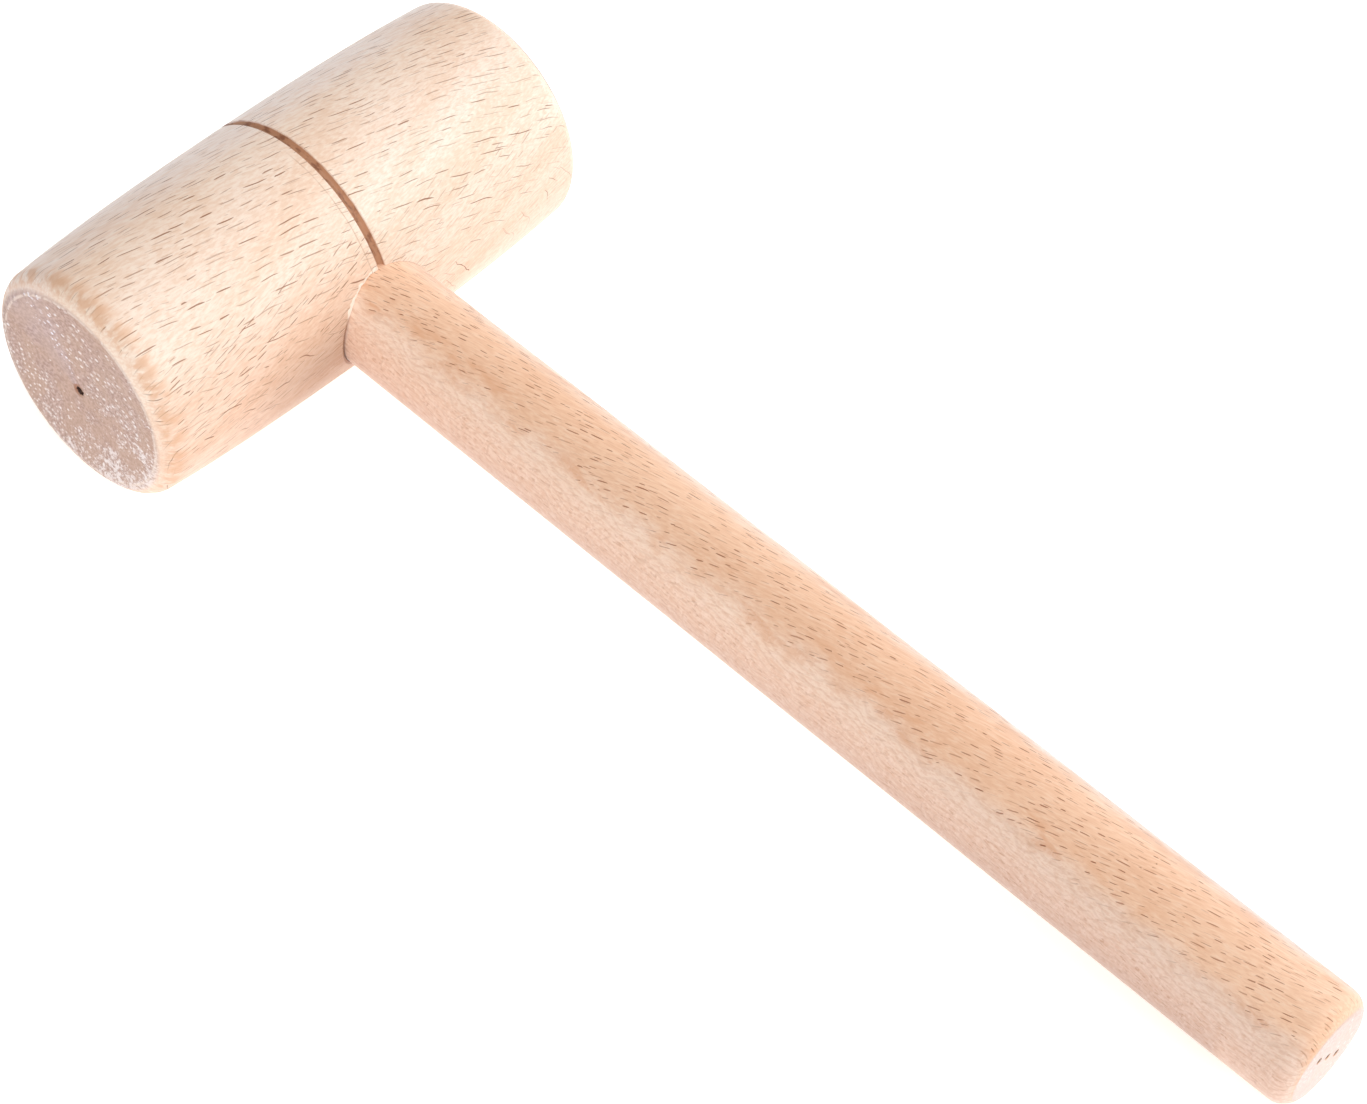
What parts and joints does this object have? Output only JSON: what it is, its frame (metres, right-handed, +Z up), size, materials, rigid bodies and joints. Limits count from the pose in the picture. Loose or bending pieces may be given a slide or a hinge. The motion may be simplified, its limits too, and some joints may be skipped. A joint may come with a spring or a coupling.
{
  "type": "wooden mallet",
  "caption": "Round wooden mallet: a barrel-shaped turned head with flat striking faces and a scored middle, on a long plain round handle.",
  "frame": {"origin": "on the surface that the mallet lies on, in the middle of its footprint", "axes": "+X along the head, +Y from the handle's butt to the head, +Z up with the mallet lying on its side"},
  "size_m": [0.1, 0.2548, 0.0475],
  "materials": {
    "head_beech": "bare pale beech, turned and sanded smooth, no varnish",
    "handle_beech": "bare pinkish tan beech, turned and sanded smooth, no varnish",
    "wedge_hardwood": "darker hardwood, sanded flush with the head"
  },
  "bodies": {
    "root": {"mallet_head": "head_beech", "handle": "handle_beech", "wedge": "wedge_hardwood"}
  },
  "joints": []
}
